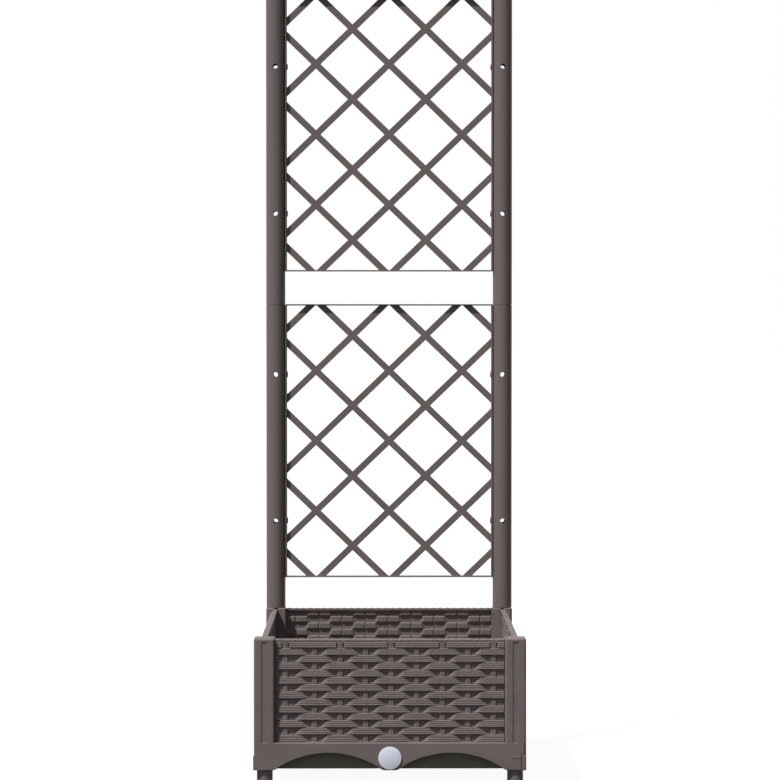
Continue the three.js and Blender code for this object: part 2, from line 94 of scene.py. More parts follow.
HALF = -POST_LOW.x                    # the middle of the tub to a post's outer face
RIM_TOP = PANEL_HIGH.z
PANEL_BOTTOM = PANEL_LOW.z
SKIRT_BOTTOM = TRAY_LOW.z
SKIRT_TOP = TRAY_HIGH.z - mm(1.2)     # where the photograph has it

# Fits
GAP = mm(0.3)                         # between two pieces that rest on each other
EMBED = mm(0.5)                       # how far parts of one piece run into each other
OVERCUT = mm(1)                       # how far a cutter runs past what it cuts

# Corner posts and feet
POST_INNER = HALF - mm(31)
POST_TOP = RIM_TOP + mm(1.5)
CORNER_RADIUS = mm(3.5)
POST_CHAMFER = mm(2.6)
TOP_ROUND = mm(2)
CHANNEL_WIDTH = mm(7.8)
CHANNEL_DEPTH = mm(1.1)
CHANNEL_SLOPE = mm(0.5)
CHANNEL_TOP = POST_TOP - mm(4.4)
TONGUE = mm(4)                        # the part of a panel that stands in a post's groove
POST_BORE = mm(7)
TUBE_BORE_DEPTH = mm(45.5)
FOOT_BORE_DEPTH = mm(25.5)
PIN_RADIUS = mm(6.7)
SHANK_OUTER = HALF - mm(3.5)
SHANK_ROUND = mm(0.4)
FOOT_ROUND = mm(1)

# Side panels
SHEET_OUTER = HALF - mm(13.7)
SHEET_INNER = SHEET_OUTER - mm(5)
WEAVE_HALF = POST_INNER - mm(1)
WEAVE_TOP = RIM_TOP - mm(2.4)
ROW_COUNT = 14
ROW_HEIGHT = (WEAVE_TOP - SKIRT_TOP) / ROW_COUNT
WEAVE_PITCH = mm(75.2)
WEAVE_SHIFT = mm(1.9)

# Trellis
TUBE_RADIUS = mm(15.5)
TUBE_BORE = TUBE_RADIUS - mm(2)
POST_AXIS = HALF - TUBE_RADIUS
SHANK_INNER = 2 * POST_AXIS - SHANK_OUTER

# ------------------------------------------------------------------ materials

IOR = 1.46
SPECULAR = 0.12                       # of a dull moulded surface

# Grains per metre in each noise
CLOUD_GRAINS = 28
GLOSS_GRAINS = 90
WAVE_GRAINS = 160
FINE_GRAINS = 2600

WAVE_DEPTH = mm(0.25)
WAVE_STRENGTH = 0.25
FINE_DEPTH = mm(0.06)
GLOSSIER, DULLER = 0.05, 0.06         # the roughness of the patches beside the mean

# Edges, painted paler as a highlight, and a little less rough
EDGE_REACH = mm(0.7)
EDGE_HIGHLIGHT = 1.22                      # how much paler they are
EDGE_GLOSS = 0.12                     # how much less rough
EDGE_NORMALS = (0.80, 0.99)           # how far two normals agree on an edge and on a flat


class Recipe:
    """A node material being put together."""

    def __init__(self, name):
        self.material = bpy.data.materials.new(name)
        self.material.use_nodes = True
        self.tree = self.material.node_tree
        self.shader = self.tree.nodes["Principled BSDF"]
        self.place = self.tree.nodes.new("ShaderNodeTexCoord").outputs["Object"]

    def node(self, kind, **inputs):
        made = self.tree.nodes.new(kind)
        for name, value in inputs.items():
            made.inputs[name.replace("_", " ")].default_value = value
        return made

    def link(self, source, target):
        self.tree.links.new(source, target)

    def noise(self, scale, detail=3.0, stretch=(1, 1, 1)):
        """A noise value whose grains are 1 / scale metres, drawn out along an axis."""
        spread = self.node("ShaderNodeMapping", Scale=stretch)
        self.link(self.place, spread.inputs["Vector"])
        made = self.node("ShaderNodeTexNoise", Scale=scale, Detail=detail)
        self.link(spread.outputs["Vector"], made.inputs["Vector"])
        return made.outputs["Fac"]

    def ramp(self, value, low, high, at=(0.3, 0.7)):
        """A colour, or a grey, that goes from low to high as value rises."""
        made = self.tree.nodes.new("ShaderNodeValToRGB")
        for stop, colour, position in zip(made.color_ramp.elements, (low, high), at):
            stop.color = colour if isinstance(colour, tuple) else (colour, colour, colour, 1)
            stop.position = position
        self.link(value, made.inputs["Fac"])
        return made.outputs["Color"]

    def mixed(self, share, first, second):
        """From the colour first to the colour second as share goes from 0 to 1."""
        made = self.tree.nodes.new("ShaderNodeMix")
        made.data_type = "RGBA"
        sockets = {socket.identifier: socket for socket in made.inputs}
        self.link(share, sockets["Factor_Float"])
        for source, name in ((first, "A_Color"), (second, "B_Color")):
            if isinstance(source, tuple):
                sockets[name].default_value = source
            else:
                self.link(source, sockets[name])
        return {socket.identifier: socket for socket in made.outputs}["Result_Color"]

    def edges(self, reach):
        """From 0 on the flats to 1 within a reach of an edge."""
        bevel = self.node("ShaderNodeBevel", Radius=reach)
        bevel.samples = 4
        surface = self.tree.nodes.new("ShaderNodeNewGeometry")
        agree = self.tree.nodes.new("ShaderNodeVectorMath")
        agree.operation = "DOT_PRODUCT"
        self.link(bevel.outputs["Normal"], agree.inputs[0])
        self.link(surface.outputs["Normal"], agree.inputs[1])
        return self.ramp(agree.outputs["Value"], 1.0, 0.0, EDGE_NORMALS)

    def bump(self, height, distance, strength, below=None):
        made = self.node("ShaderNodeBump", Strength=strength, Distance=distance)
        self.link(height, made.inputs["Height"])
        if below is not None:
            self.link(below, made.inputs["Normal"])
        return made.outputs["Normal"]


def linear(hex_colour, lift=1.0):
    """An sRGB colour as linear RGBA, made lighter or darker by lift."""
    channels = []
    for start in (0, 2, 4):
        value = int(hex_colour[start:start + 2], 16) / 255
        value = value / 12.92 if value <= 0.04045 else ((value + 0.055) / 1.055) ** 2.4
        channels.append(value * lift)
    return (*channels, 1.0)


def moulded_plastic(name, colour, rough, grain, variation=0.06, streaks=(1, 1, 1)):
    """Moulded plastic with fine grain, faint flow marks in the colour, uneven gloss and
    edges that are a little shinier, with a painted highlight that makes them paler."""
    recipe = Recipe(name)
    cloud = recipe.noise(CLOUD_GRAINS, detail=4, stretch=streaks)
    tint = recipe.ramp(cloud, linear(colour, 1 - variation), linear(colour, 1 + variation))
    # painted highlight: every edge, standing out or hollow, is painted paler here
    highlight_edges = recipe.edges(EDGE_REACH)
    highlighted_tint = recipe.mixed(highlight_edges, tint, linear(colour, EDGE_HIGHLIGHT))
    recipe.link(highlighted_tint, recipe.shader.inputs["Base Color"])
    patches = recipe.noise(GLOSS_GRAINS, detail=2, stretch=streaks)
    gloss = recipe.ramp(patches, rough - GLOSSIER, rough + DULLER)
    shiny = (rough - EDGE_GLOSS,) * 3 + (1.0,)
    recipe.link(recipe.mixed(highlight_edges, gloss, shiny), recipe.shader.inputs["Roughness"])
    waves = recipe.noise(WAVE_GRAINS, detail=2, stretch=streaks)
    soft = recipe.bump(waves, WAVE_DEPTH, WAVE_STRENGTH)
    fine = recipe.noise(FINE_GRAINS, detail=2)
    recipe.link(recipe.bump(fine, FINE_DEPTH, grain, soft), recipe.shader.inputs["Normal"])
    recipe.shader.inputs["IOR"].default_value = IOR
    recipe.shader.inputs["Specular IOR Level"].default_value = SPECULAR
    return recipe.material


# Each slot's colour, its roughness, how strongly the fine grain shows, and what else is
# other than usual: how far the colour drifts and how its drifts are drawn out
PLASTICS = {
    "body_plastic": ("6e6463", 0.50, 0.5),
    "tube_plastic": ("6c6160", 0.46, 0.3, 0.06, (1, 1, 0.08)),
    "lattice_plastic": ("6c6361", 0.55, 0.4),
    "tray_plastic": ("6a685f", 0.62, 0.6),
    "cap_plastic": ("d4d6e4", 0.42, 0.2, 0.02),
    "seal_rubber": ("1f1f1f", 0.80, 0.8),
}
SLOT_MATERIALS = {slot: moulded_plastic(slot, *look) for slot, look in PLASTICS.items()}

# ------------------------------------------------------------------ mesh tools

WELD = mm(0.002)                      # points closer than this become one
AXIS = mm(0.01)                       # the radius at which a turned solid closes
SHARPEST = 0.3                        # keeps the point of a sharp corner from shooting out
ROUND_SHARE = 0.45                    # of a side that the round at one end of it may take
CREASE = 38                           # degrees; a sharper edge isn't shaded smooth


class Skin:
    """Points and faces gathered into one mesh."""

    def __init__(self):
        self.points = []
        self.faces = []

    def add(self, points, faces, place=HERE):
        first = len(self.points)
        self.points += [place @ Vector(point) for point in points]
        self.faces += [tuple(first + index for index in face) for face in faces]
        return self

    def loft(self, rings, closed=False, place=HERE):
        """A skin over rings of as many points each, capped unless the last meets the first."""
        count = len(rings[0])
        points = [point for ring in rings for point in ring]
        faces = []
        for low in range(len(rings) - (0 if closed else 1)):
            high = (low + 1) % len(rings)
            for i in range(count):
                j = (i + 1) % count
                faces.append((
                    low * count + i, low * count + j, high * count + j, high * count + i,
                ))
        if not closed:
            last = (len(rings) - 1) * count
            faces.append(tuple(range(count)))
            faces.append(tuple(range(last, last + count)))
        return self.add(points, faces, place)

    def slab(self, outlines, span, edges=(0, 0), place=HERE, steps=3):
        """Flat outlines in X and Y, the first one solid and the rest holes in it, raised
        over a span of Z, with rounded lower and upper edges."""
        outlines = [turned_to(outline, index == 0) for index, outline in enumerate(outlines)]
        levels = []
        for end, (z, edge) in enumerate(zip(span, edges)):
            turns = range(steps + 1) if edge > 0 else (steps,)
            bend = []
            for turn in turns:
                angle = math.pi / 2 * turn / steps
                up = edge * (1 - math.cos(angle))
                bend.append((edge * (1 - math.sin(angle)), z - up if end else z + up))
            levels += reversed(bend) if end else bend
        starts = [0]
        for outline in outlines:
            starts.append(starts[-1] + len(outline))
        count = starts[-1]
        points = []
        for draw, z in levels:
            for outline in outlines:
                points += [Vector((*point, z)) for point in drawn_in(outline, draw)]
        faces = []
        for level in range(len(levels) - 1):
            below = level * count
            for start, end in zip(starts, starts[1:]):
                for i in range(start, end):
                    j = i + 1 if i + 1 < end else start
                    faces.append((below + i, below + j, below + count + j, below + count + i))
        loops = [
            [Vector((point.x, point.y, 0)) for point in points[start:end]]
            for start, end in zip(starts, starts[1:])
        ]
        last = (len(levels) - 1) * count
        for triangle in tessellate_polygon(loops):
            faces.append(tuple(triangle))
            faces.append(tuple(last + index for index in triangle))
        return self.add(points, faces, place)

    def take(self, other):
        """The points and faces of another skin, or of a mesh, as well."""
        if isinstance(other, Skin):
            return self.add(other.points, other.faces)
        return self.add(
            [vertex.co for vertex in other.vertices],
            [tuple(face.vertices) for face in other.polygons],
        )

    def mesh(self, name):
        mesh = bpy.data.meshes.new(name)
        mesh.from_pydata(self.points, [], self.faces)
        work = bmesh.new()
        work.from_mesh(mesh)
        bmesh.ops.remove_doubles(work, verts=work.verts, dist=WELD)
        bmesh.ops.recalc_face_normals(work, faces=work.faces)
        work.to_mesh(mesh)
        work.free()
        return mesh


def turned_to(outline, counter_clockwise):
    area = sum(
        a[0] * b[1] - b[0] * a[1] for a, b in zip(outline, outline[1:] + outline[:1])
    )
    return list(outline) if (area > 0) == counter_clockwise else list(reversed(outline))


def drawn_in(outline, distance):
    """The outline moved to its left, which is into the solid, by a distance."""
    if distance == 0:
        return [Vector(point) for point in outline]
    moved = []
    count = len(outline)
    for index, point in enumerate(outline):
        here = Vector(point)
        before = (here - Vector(outline[index - 1])).normalized()
        after = (Vector(outline[(index + 1) % count]) - here).normalized()
        side = Vector((-before.y, before.x))
        middle = (side + Vector((-after.y, after.x))).normalized()
        moved.append(here + middle * (distance / max(SHARPEST, middle.dot(side))))
    return moved


def arc(centre, radius, start, end, steps):
    """Points on an arc, in degrees from +X towards +Y."""
    points = []
    for step in range(steps + 1):
        angle = math.radians(start + (end - start) * step / steps)
        points.append((
            centre[0] + radius * math.cos(angle),
            centre[1] + radius * math.sin(angle),
        ))
    return points


def rectangle(x0, x1, y0, y1):
    return [(x0, y0), (x1, y0), (x1, y1), (x0, y1)]


def circle(centre, radius, sides=48):
    return arc(centre, radius, 0, 360, sides)[:-1]


def rod(radius, low, high, place=HERE, sides=48):
    return Skin().loft(
        [[Vector((*point, z)) for point in circle((0, 0), radius, sides)] for z in (low, high)],
        place=place,
    )


def lathe(profile, sides=64):
    """Rings of a closed profile of (radius, height) pairs turned about Z."""
    rings = []
    for side in range(sides):
        angle = 2 * math.pi * side / sides
        rings.append([
            Vector((radius * math.cos(angle), radius * math.sin(angle), height))
            for radius, height in profile
        ])
    return rings


def rounded(profile, radius, steps=3):
    """A closed profile with its corners rounded."""
    points = []
    count = len(profile)
    for index, point in enumerate(profile):
        here = Vector(point)
        before = Vector(profile[index - 1]) - here
        after = Vector(profile[(index + 1) % count]) - here
        reach = min(radius, before.length * ROUND_SHARE, after.length * ROUND_SHARE)
        start = here + before.normalized() * reach
        end = here + after.normalized() * reach
        for step in range(steps + 1):
            t = step / steps
            points.append(tuple(start * (1 - t) ** 2 + here * 2 * t * (1 - t) + end * t ** 2))
    return points


def turned(profile, radius, place, steps=3):
    """A solid turned from (radius, height) corners that start and end near its axis."""
    corners = [(max(r, AXIS), z) for r, z in profile]
    return Skin().loft(lathe(rounded(corners, radius, steps)), closed=True, place=place)


def carved(skin, cutters):
    """The skin with each cutter taken out of it."""
    scene = bpy.context.scene.collection.objects
    made = bpy.data.objects.new("carved", skin.mesh("carved"))
    scene.link(made)
    tools = []
    for cutter in cutters:
        tool = bpy.data.objects.new("cutter", cutter.mesh("cutter"))
        scene.link(tool)
        tools.append(tool)
        step = made.modifiers.new("cut", "BOOLEAN")
        step.operation = "DIFFERENCE"
        step.solver = "EXACT"
        step.object = tool
    bpy.context.view_layer.update()
    evaluated = made.evaluated_get(bpy.context.evaluated_depsgraph_get())
    mesh = bpy.data.meshes.new_from_object(evaluated)
    result = Skin().take(mesh)
    for spent in [made] + tools:
        bpy.data.objects.remove(spent)
    return result


def upright(x, y, z=0.0):
    return Matrix.Translation((x, y, z))


def standing(x, y, z):
    """What lay in X and Y stands in X and Z, and its Z points to -Y."""
    return Matrix.Translation((x, y, z)) @ Matrix.Rotation(math.pi / 2, 4, "X")


def quarter(turn):
    return Matrix.Rotation(turn * math.pi / 2, 4, "Z")


def piece(name, skin, node, place=HERE, crease=CREASE):
    """An object that stands for a CAD node: its body, slot and material come from that."""
    mesh = skin.mesh(name) if isinstance(skin, Skin) else skin.copy()
    mesh.transform(place)
    made = bpy.data.objects.new(name, mesh)
    bpy.context.scene.collection.objects.link(made)
    slot = SLOTS[node]
    made.data.materials.clear()
    made.data.materials.append(SLOT_MATERIALS[slot])
    made.data.shade_smooth()
    made.data.set_sharp_from_angle(angle=math.radians(crease))
    keep_flats = made.modifiers.new("keep_flats", "WEIGHTED_NORMAL")
    keep_flats.keep_sharp = True
    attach(made, NODE_BODIES[node])
    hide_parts(node)
    return made


# ------------------------------------------------------------------ corner posts and feet


def both_faces(outline):
    """An outline on the front face of the front left corner, and on its left face."""
    return outline, [(y, x) for x, y in outline]


def corner_post(name, turn):
    front_edge = [
        (-POST_INNER, -POST_INNER),
        (-POST_INNER, -HALF + POST_CHAMFER),
        (-POST_INNER - POST_CHAMFER, -HALF),
    ]
    corner = arc((-HALF + CORNER_RADIUS, -HALF + CORNER_RADIUS), CORNER_RADIUS, 270, 180, 8)
    side_edge = [(y, x) for x, y in reversed(front_edge[1:])]
    upper = Skin().slab(
        [front_edge + corner + side_edge],
        (SKIRT_TOP, POST_TOP), (0, TOP_ROUND), steps=5,
    )
    shank = Skin().slab(
        [rectangle(-SHANK_OUTER, -SHANK_INNER, -SHANK_OUTER, -SHANK_INNER)],
        (SKIRT_BOTTOM, PANEL_BOTTOM), (SHANK_ROUND, 0),
    )

    groove = rectangle(
        -POST_INNER - TONGUE - GAP, -POST_INNER + OVERCUT, -SHEET_OUTER - GAP, -SHEET_INNER + GAP,
    )
    middle = HALF - (HALF - POST_INNER) / 2
    bottom_half = CHANNEL_WIDTH / 2
    mouth_half = bottom_half + CHANNEL_SLOPE * (1 + OVERCUT / CHANNEL_DEPTH)
    channel = [
        (-middle - mouth_half, -HALF - OVERCUT),
        (-middle + mouth_half, -HALF - OVERCUT),
        (-middle + bottom_half, -HALF + CHANNEL_DEPTH),
        (-middle - bottom_half, -HALF + CHANNEL_DEPTH),
    ]
    low, high = SKIRT_TOP - OVERCUT, POST_TOP + OVERCUT
    cutters = [Skin().slab([outline], (low, high)) for outline in both_faces(groove)]
    cutters += [Skin().slab([outline], (low, CHANNEL_TOP)) for outline in both_faces(channel)]
    axis = upright(-POST_AXIS, -POST_AXIS)
    if name.startswith("rear"):
        cutters.append(rod(POST_BORE, POST_TOP - TUBE_BORE_DEPTH, high, axis))
    foot_bore = rod(POST_BORE, SKIRT_BOTTOM - OVERCUT, SKIRT_BOTTOM + FOOT_BORE_DEPTH, axis)
    skin = carved(upper, cutters).take(carved(shank, [foot_bore]))
    piece(f"post_{name}", skin, f"corner_post_{name}", quarter(turn), 30)


def foot(name, turn):
    radius = (FOOT_HIGH.x - FOOT_LOW.x) / 2
    low, high = FOOT_LOW.z, FOOT_HIGH.z
    shoulder = SKIRT_BOTTOM - GAP
    profile = [
        (0, low), (radius, low), (radius, shoulder),
        (PIN_RADIUS, shoulder), (PIN_RADIUS, high), (0, high),
    ]
    skin = turned(profile, FOOT_ROUND, upright(-POST_AXIS, -POST_AXIS))
    piece(f"stub_foot_{name}", skin, f"foot_{name}", quarter(turn))


for turn, name in enumerate(CORNERS):
    corner_post(name, turn)
    foot(name, turn)

# ------------------------------------------------------------------ woven side panels

# Seen from above, the weave runs between these distances from the middle of the tub.
OVER_OUT = HALF - mm(7.2)             # the lower edge of a band where it passes over a stake
OVER_LEAN = mm(1.0)                   # how far its upper edge lies behind that
STAKE_OUT = OVER_OUT - mm(1.6)
RECESS_OUT = SHEET_OUTER + mm(2.7)    # a band's front where it lies behind a stake
SKIN_IN = SHEET_OUTER + mm(0.4)       # the back of the thin sheet behind it all
SKIN_OUT = SKIN_IN + mm(0.8)
ROOT = mm(0.2)                        # how far what stands on the sheet runs into it
BLOCK_IN = SHEET_INNER + mm(2.2)      # the inner face of the blocks behind the overs

RIBS = 4
RIB_DEPTH = mm(0.6)
UNDER_RIB_DEPTH = mm(0.3)
RIB_CURVE = 0.6                       # below 1 for broad crowns between narrow valleys
OVER_FLAT = mm(16.5)                  # half the length that stands fully out
OVER_FOOT = mm(29)                    # half its length along its lower edge
OVER_HEAD = mm(21.8)                  # and along its upper edge
OVER_CURVE = 1.5                      # above 1 for ends that widen most at the lower edge
OVER_ROUND = mm(0.8)                  # how far the uppermost edge falls back
OVER_SUNK = mm(0.3)                   # how far the ends run into the recess
OVER_GAP = mm(0.35)
STAKE_WIDTH = mm(9)
STAKE_RIBS = 3
STAKE_RIB_DEPTH = mm(0.3)
FIRST_STAKE = mm(-154)                # stands a little off the pitch of the others
RIM_ROW_TOP = WEAVE_TOP - mm(1.6)
RIM_ROW_GAPS = mm(5.6, 4.5)           # a stake's middle to the segments on its right and left
RIM_ROW_STRIP = mm(2.2)               # height of the strip that runs on above the stakes
RIM_ROW_BEND = mm(1.6)                # how soon a segment bends down at its ends
RIM_ROW_LEAN = mm(0.4)                # how much shorter its upper edge is


def outward(u, w, z):
    """A point of the front panel: u along it, w out from the tub's middle, z up."""
    return Vector((u, -w, z))


def ribs(count, depth, samples=6, top_round=0.0):
    """Shares of a band's height with how far each lies below the ribs' crowns."""
    points = []
    for rib in range(count):
        for sample in range(samples):
            share = (rib + sample / samples) / count
            below = depth * (1 - math.sin(math.pi * sample / samples) ** RIB_CURVE)
            points.append((share, below))
    points.append((1.0, depth))
    start = 1 - 0.5 / count
    return [
        (share, below + top_round * max(0.0, (share - start) / (1 - start)) ** 2)
        for share, below in points
    ]


def over(skin, centre, span, flat, foot, head, count):
    """A length of band in front of a stake. Its ends bend down into the panel, and reach
    further along the lower edge than along the upper one."""
    low, high = span
    profile = ribs(count, RIB_DEPTH, top_round=OVER_ROUND)
    ground = RECESS_OUT - OVER_SUNK
    bends = (0.0, 0.25, 0.5, 0.7, 0.85, 0.95, 1.0)
    stations = [(-1, bend) for bend in reversed(bends)] + [(1, bend) for bend in bends]
    rings = []
    for side, bend in stations:
        ring = []
        for share, below in profile:
            reach = head + (foot - head) * (1 - share) ** OVER_CURVE
            u = centre + side * (flat + (reach - flat) * bend)
            front = OVER_OUT - OVER_LEAN * share - below
            w = ground + (front - ground) * math.sqrt(1 - bend ** 2)
            ring.append(outward(within(u, WEAVE_HALF), w, low + (high - low) * share))
        ring.append(outward(ring[-1].x, SKIN_IN + ROOT, high))
        ring.append(outward(ring[0].x, SKIN_IN + ROOT, low))
        rings.append(ring)
    skin.loft(rings)


def within(value, limit):
    return min(max(value, -limit), limit)


def under(skin, span):
    """The bands where they lie behind the stakes, along the whole panel."""
    low, high = span
    rings = []
    for u in (-WEAVE_HALF, WEAVE_HALF):
        ring = [
            outward(u, RECESS_OUT - below, low + (high - low) * share)
            for share, below in ribs(RIBS, UNDER_RIB_DEPTH, 4)
        ]
        ring += [outward(u, SKIN_IN + ROOT, high), outward(u, SKIN_IN + ROOT, low)]
        rings.append(ring)
    skin.loft(rings)


def stake(skin, u, span):
    """A rounded bar down the panel with fine ribs along it."""
    steps = 6 * STAKE_RIBS
    half_width = STAKE_WIDTH / 2
    height = STAKE_OUT - STAKE_RIB_DEPTH - RECESS_OUT
    rings = []
    for z in span:
        ring = []
        for step in range(steps + 1):
            across = 2 * step / steps - 1
            rib = STAKE_RIB_DEPTH * abs(math.sin(STAKE_RIBS * math.pi * step / steps))
            rise = height * math.sqrt(1 - abs(across) ** 5)
            ring.append(outward(u + across * half_width, RECESS_OUT - ROOT + rise + rib, z))
        ring.append(outward(u + half_width, SKIN_IN + ROOT / 2, z))
        ring.append(outward(u - half_width, SKIN_IN + ROOT / 2, z))
        rings.append(ring)
    skin.loft(rings)


# The inner face: a block behind each over, with a groove down its middle.
BLOCK_FACE = mm(17.5)                 # half its width
BLOCK_HEAD = mm(18.6)
BLOCK_FOOT = mm(25)
BLOCK_GROOVE = mm(1.3)
BLOCK_GROOVE_DEPTH = mm(1.5)
BLOCK_EDGE = mm(0.9)                  # the size of its rounded edges
# Its section: shares of its height, and how many edge sizes it is tucked in there
BLOCK_LEVELS = [
    (0, 1.0), (0.05, 0.35), (0.12, 0), (0.5, 0), (0.86, 0), (0.97, 1.1), (1, 1.9),
]


def block(skin, centre, span):
    low, high = span
    ground = SKIN_IN + mm(0.3)
    depth = ground - BLOCK_IN
    # Each station: its distance from the centre above and below, and how far it is sunk.
    stations = [
        (BLOCK_GROOVE, BLOCK_GROOVE, BLOCK_GROOVE_DEPTH),
        (BLOCK_GROOVE + mm(0.4), BLOCK_GROOVE + mm(0.4), mm(0.3)),
        (BLOCK_GROOVE + mm(1), BLOCK_GROOVE + mm(1), 0),
        (BLOCK_FACE - mm(1), BLOCK_FACE - mm(1), 0),
        (BLOCK_FACE, BLOCK_FACE + mm(0.8), mm(0.5)),
        (BLOCK_HEAD, BLOCK_FOOT, depth),
    ]
    for side in (-1, 1):
        if side * centre + BLOCK_GROOVE > WEAVE_HALF:
            continue
        rings = []
        for head, foot, sunk in stations:
            ring = []
            for share, tuck in BLOCK_LEVELS:
                u = centre + side * (foot + (head - foot) * share ** 0.7)
                w = BLOCK_IN + min(sunk + BLOCK_EDGE * tuck, depth)
                ring.append(outward(within(u, WEAVE_HALF), w, low + (high - low) * share))
            ring.append(outward(ring[-1].x, ground + ROOT, high))
            ring.append(outward(ring[0].x, ground + ROOT, low))
            rings.append(ring)
        skin.loft(rings)
    if abs(centre) + BLOCK_GROOVE < WEAVE_HALF:
        groove_half = BLOCK_GROOVE + mm(0.1)
        bottom = -BLOCK_IN - BLOCK_GROOVE_DEPTH
        strip = rectangle(centre - groove_half, centre + groove_half, -ground, bottom)
        skin.slab([strip], (low + mm(0.4), high - mm(0.4)))


RIM_OUTER = HALF - mm(10.6)
RIM_FOOT = RIM_TOP - mm(4.4)
LIP_FOOT = RIM_TOP - mm(3.2)          # the underside of the rim's outer lip
LIP_DEPTH = mm(1.2)
SCALLOP_WIDTH = mm(11.1)
SCALLOP_DEPTH = mm(0.6)
SCALLOP_STEPS = 8


def rim(skin):
    """The panel's top band, whose upper edge is scalloped."""
    count = round(2 * WEAVE_HALF / SCALLOP_WIDTH) * SCALLOP_STEPS
    rings = []
    for step in range(count + 1):
        u = -WEAVE_HALF + 2 * WEAVE_HALF * step / count
        top = RIM_TOP - SCALLOP_DEPTH * math.cos(math.pi * step / SCALLOP_STEPS) ** 2
        section = [
            (SHEET_INNER + mm(0.4), RIM_FOOT),
            (SHEET_INNER, LIP_FOOT),
            (SHEET_INNER, top - mm(0.7)),
            (SHEET_INNER + mm(0.6), top),
            (RIM_OUTER - mm(1.9), top),
            (RIM_OUTER - mm(1.0), top - mm(0.3)),
            (RIM_OUTER - mm(0.3), top - mm(0.9)),
            (RIM_OUTER, top - mm(1.8)),
            (RIM_OUTER, LIP_FOOT + mm(0.6)),
            (RIM_OUTER - mm(0.4), LIP_FOOT + mm(0.2)),
            (RIM_OUTER - LIP_DEPTH, LIP_FOOT),
            (RIM_OUTER - LIP_DEPTH, RIM_FOOT),
        ]
        rings.append([outward(u, w, z) for w, z in section])
    skin.loft(rings)


def woven_panel():
    skin = Skin()
    sheet = rectangle(-WEAVE_HALF, WEAVE_HALF, -SKIN_OUT, -SKIN_IN)
    skin.slab([sheet], (SKIRT_TOP, LIP_FOOT - ROOT))
    for side in (-1, 1):
        ends = sorted((side * (WEAVE_HALF - mm(1)), side * (POST_INNER + TONGUE)))
        tongue = rectangle(*ends, -SHEET_OUTER - mm(1), -SHEET_INNER)
        skin.slab([tongue], (PANEL_BOTTOM, RIM_TOP - SCALLOP_DEPTH), mm(0.3, 0.3))
    rim(skin)
    stakes = [FIRST_STAKE] + [WEAVE_SHIFT + step * WEAVE_PITCH for step in (-1, 0, 1, 2)]
    between = [WEAVE_SHIFT + (step + 0.5) * WEAVE_PITCH for step in (-2, -1, 0, 1)]
    for row in range(ROW_COUNT):
        top = WEAVE_TOP - row * ROW_HEIGHT
        span = (top - ROW_HEIGHT + OVER_GAP, RIM_ROW_TOP if row == 0 else top)
        under(skin, span)
        shift = WEAVE_SHIFT + (WEAVE_PITCH / 2 if row % 2 == 0 else 0)
        for step in range(-3, 4):
            centre = shift + step * WEAVE_PITCH
            if abs(centre) - OVER_HEAD > WEAVE_HALF:
                continue
            if row > 0:
                over(skin, centre, span, OVER_FLAT, OVER_FOOT, OVER_HEAD, RIBS)
            block(skin, centre, (top - ROW_HEIGHT + mm(0.3), top - mm(0.1)))
    # The rim row has long segments that end just beside the stakes, or past the panel's end.
    past_end = WEAVE_HALF + mm(5)
    ends = [-2 * WEAVE_HALF] + stakes + [2 * WEAVE_HALF]
    top_span = (WEAVE_TOP - ROW_HEIGHT + OVER_GAP, RIM_ROW_TOP)
    for left, right in zip(ends, ends[1:]):
        start = max(left + RIM_ROW_GAPS[0], -past_end)
        end = min(right - RIM_ROW_GAPS[1], past_end)
        half = (end - start) / 2
        reaches = (half - RIM_ROW_BEND, half, half - RIM_ROW_LEAN)
        over(skin, (start + end) / 2, top_span, *reaches, RIBS - 1)
    strip = rectangle(-WEAVE_HALF, WEAVE_HALF, -STAKE_OUT + mm(0.5), -SKIN_IN)
    strip_bottom = RIM_ROW_TOP - RIM_ROW_STRIP
    skin.slab([strip], (strip_bottom, RIM_ROW_TOP), mm(0.5, 0.5))
    for u in stakes + between:
        stake(skin, u, (SKIRT_TOP, strip_bottom + ROOT))
    return skin.mesh("woven_panel")


panel_mesh = woven_panel()
for turn, name in enumerate(SIDES):
    piece(f"woven_panel_{name}", panel_mesh, f"side_panel_{name}", quarter(turn), 32)

# ------------------------------------------------------------------ skirt

SKIRT_WALL = mm(3)
SKIRT_ROUNDS = mm(0.5, 1.3)           # of the wall's edges on the inner and the outer face
SKIRT_BAND = mm(3)                    # thickness of the band behind the top of the wall
BAND_HEIGHT = mm(6.5)
BAND_REACH = mm(170.7)                # from the middle of the side to the band's ends
LEDGE_DEPTH = mm(8)                   # of the ledge that carries the tray
LEDGE_TOP = SKIRT_TOP - mm(3.5)
ARCH_RADIUS = mm(138)
ARCH_TOP = SKIRT_BOTTOM + mm(25.3)
ARCH_CENTRE = mm(90.3)
ARCH_FOOT = mm(10)
LUG_TOP = SKIRT_BOTTOM + mm(22)
LUG_REACH = mm(6.3)
LUG_OUT = mm(1.1)
LIP_LENGTH = mm(14)                   # of the low bar beside the next skirt's lug
LIP_SPAN = (LUG_TOP - mm(4), LUG_TOP - mm(2))
DRAIN_HEIGHT = mm(56.1)
NECK_HOLE = mm(10)


def skirt_edge():
    """The skirt's underside from left to right, in along-the-side and up: two flat arches
    that run out through small rounds."""
    middle = ARCH_TOP - ARCH_RADIUS
    foot_middle = SKIRT_BOTTOM + ARCH_FOOT
    rise = foot_middle - middle
    reach = math.sqrt((ARCH_RADIUS + ARCH_FOOT) ** 2 - rise ** 2)
    slope = math.degrees(math.atan2(rise, reach))
    points = []
    for centre in (-ARCH_CENTRE, ARCH_CENTRE):
        points += arc((centre - reach, foot_middle), ARCH_FOOT, -90, -slope, 6)
        points += arc((centre, middle), ARCH_RADIUS, 180 - slope, slope, 40)[1:-1]
        points += arc((centre + reach, foot_middle), ARCH_FOOT, 180 + slope, 270, 6)
    return points


